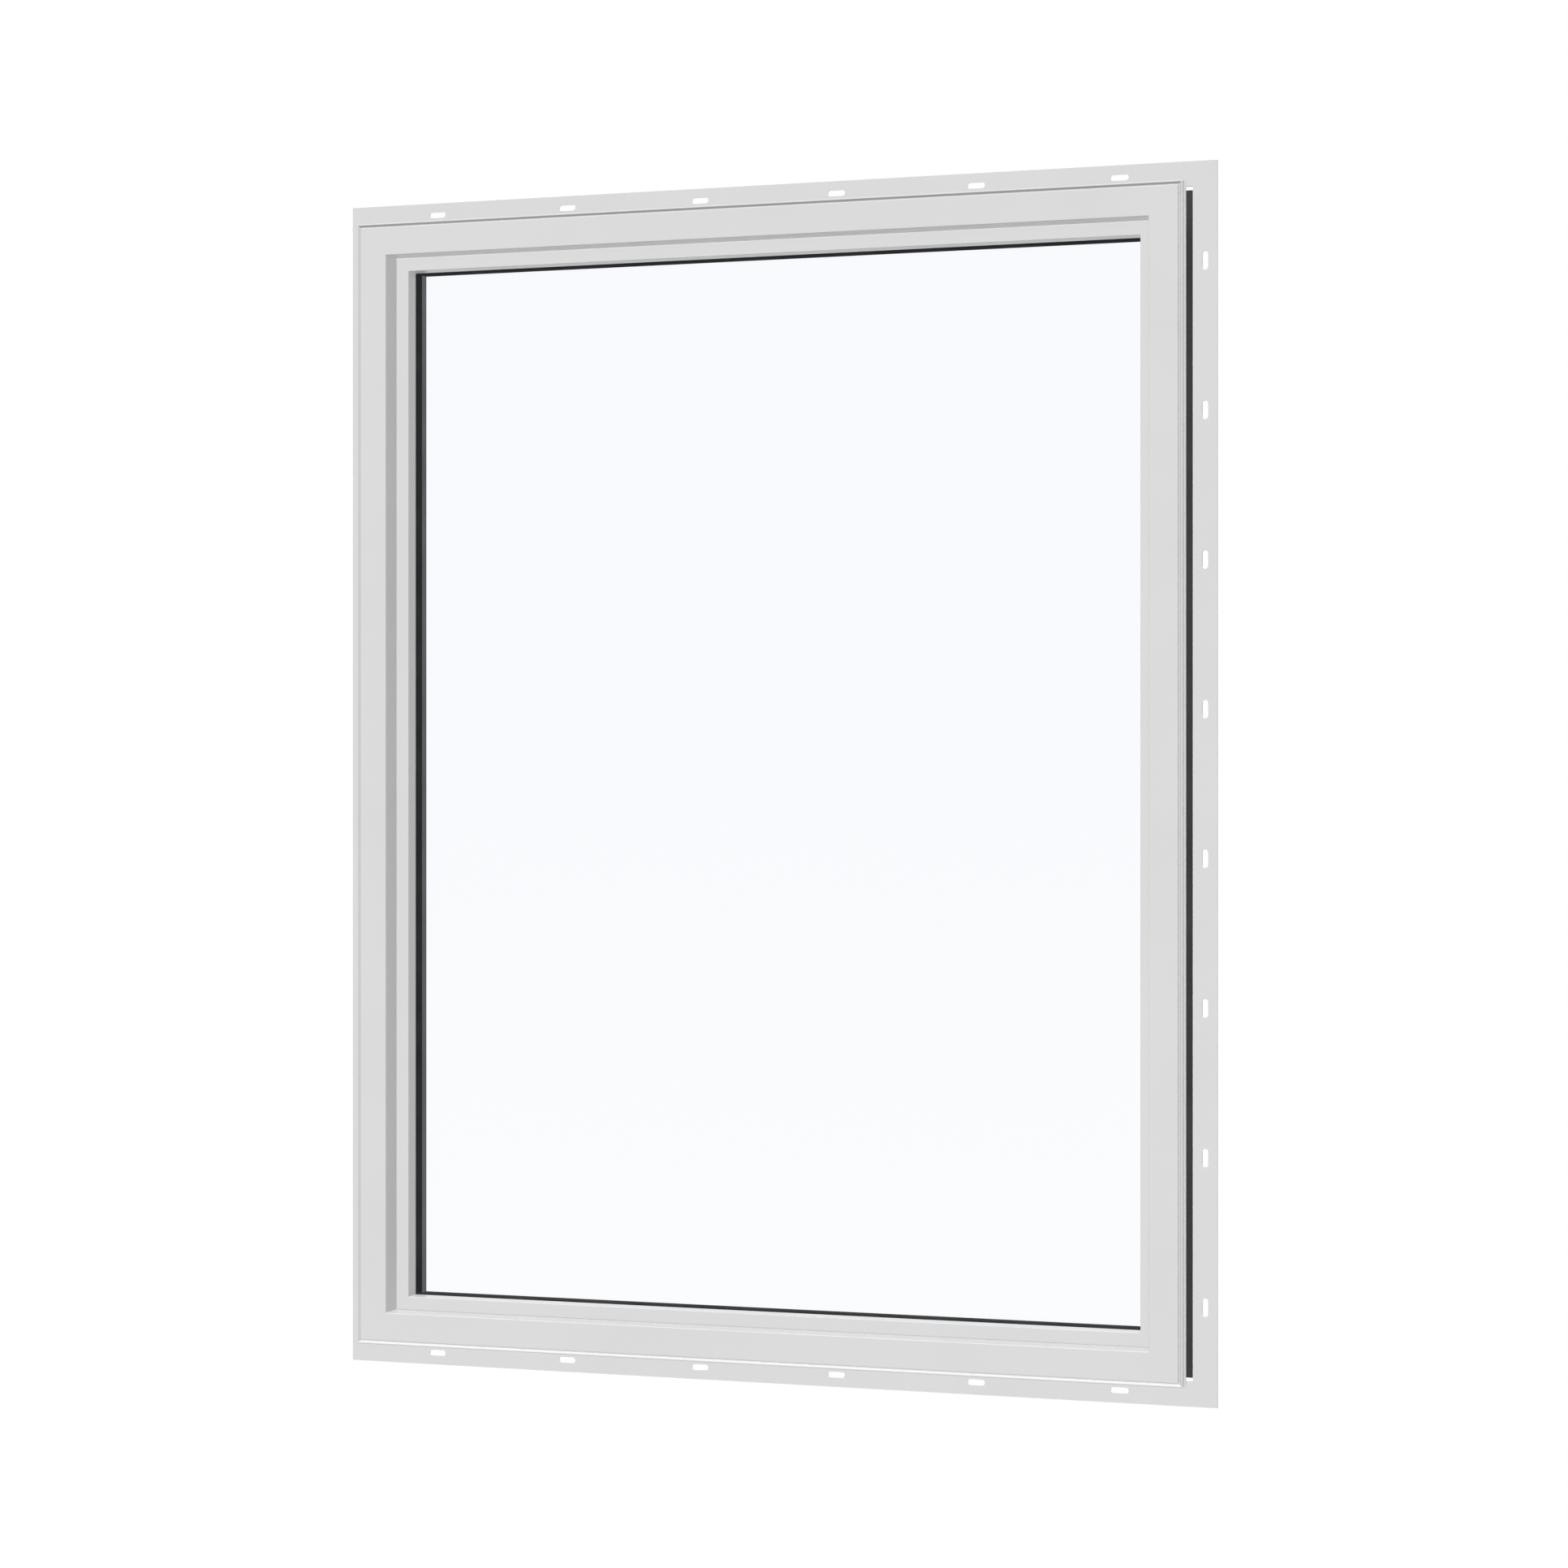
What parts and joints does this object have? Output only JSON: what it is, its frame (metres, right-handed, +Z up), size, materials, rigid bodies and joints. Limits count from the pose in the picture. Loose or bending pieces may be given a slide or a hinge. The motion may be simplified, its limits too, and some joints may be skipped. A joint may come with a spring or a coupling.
{
  "type": "fixed picture window",
  "caption": "Fixed picture window: stepped white outer frame with a slotted nailing fin, sealed double glass and a black inner frame.",
  "frame": {"origin": "on the back face of the sill's nailing fin, midway along its row of nail slots, where the fin meets the wall", "axes": "+X to the right seen from outdoors, +Y through the wall into the room, +Z up"},
  "size_m": [0.9652, 0.0857, 1.27],
  "materials": {
    "outer_frame": "satin white extrusion",
    "glazing_stop": "satin white extrusion",
    "nailing_fin": "satin white extrusion",
    "inner_frame": "satin black extrusion",
    "gasket": "black rubber",
    "glazing_tape": "black butyl tape",
    "spacer": "black warm-edge spacer",
    "glass": "clear float glass",
    "setting_block": "hard black rubber"
  },
  "bodies": {
    "root": {"outer_head": "outer_frame", "head_stop": "glazing_stop", "inner_head": "inner_frame", "head_fin": "nailing_fin", "head_gasket": "gasket", "head_spacer": "spacer", "head_tape": "glazing_tape", "outer_sill": "outer_frame", "sill_stop": "glazing_stop", "inner_sill": "inner_frame", "sill_fin": "nailing_fin", "sill_gasket": "gasket", "sill_spacer": "spacer", "sill_tape": "glazing_tape", "outer_left_jamb": "outer_frame", "left_jamb_stop": "glazing_stop", "inner_left_jamb": "inner_frame", "left_jamb_fin": "nailing_fin", "left_jamb_gasket": "gasket", "left_jamb_spacer": "spacer", "left_jamb_tape": "glazing_tape", "outer_right_jamb": "outer_frame", "right_jamb_stop": "glazing_stop", "inner_right_jamb": "inner_frame", "right_jamb_fin": "nailing_fin", "right_jamb_gasket": "gasket", "right_jamb_spacer": "spacer", "right_jamb_tape": "glazing_tape", "outer_pane": "glass", "inner_pane": "glass", "left_setting_block": "setting_block", "right_setting_block": "setting_block"}
  },
  "joints": []
}
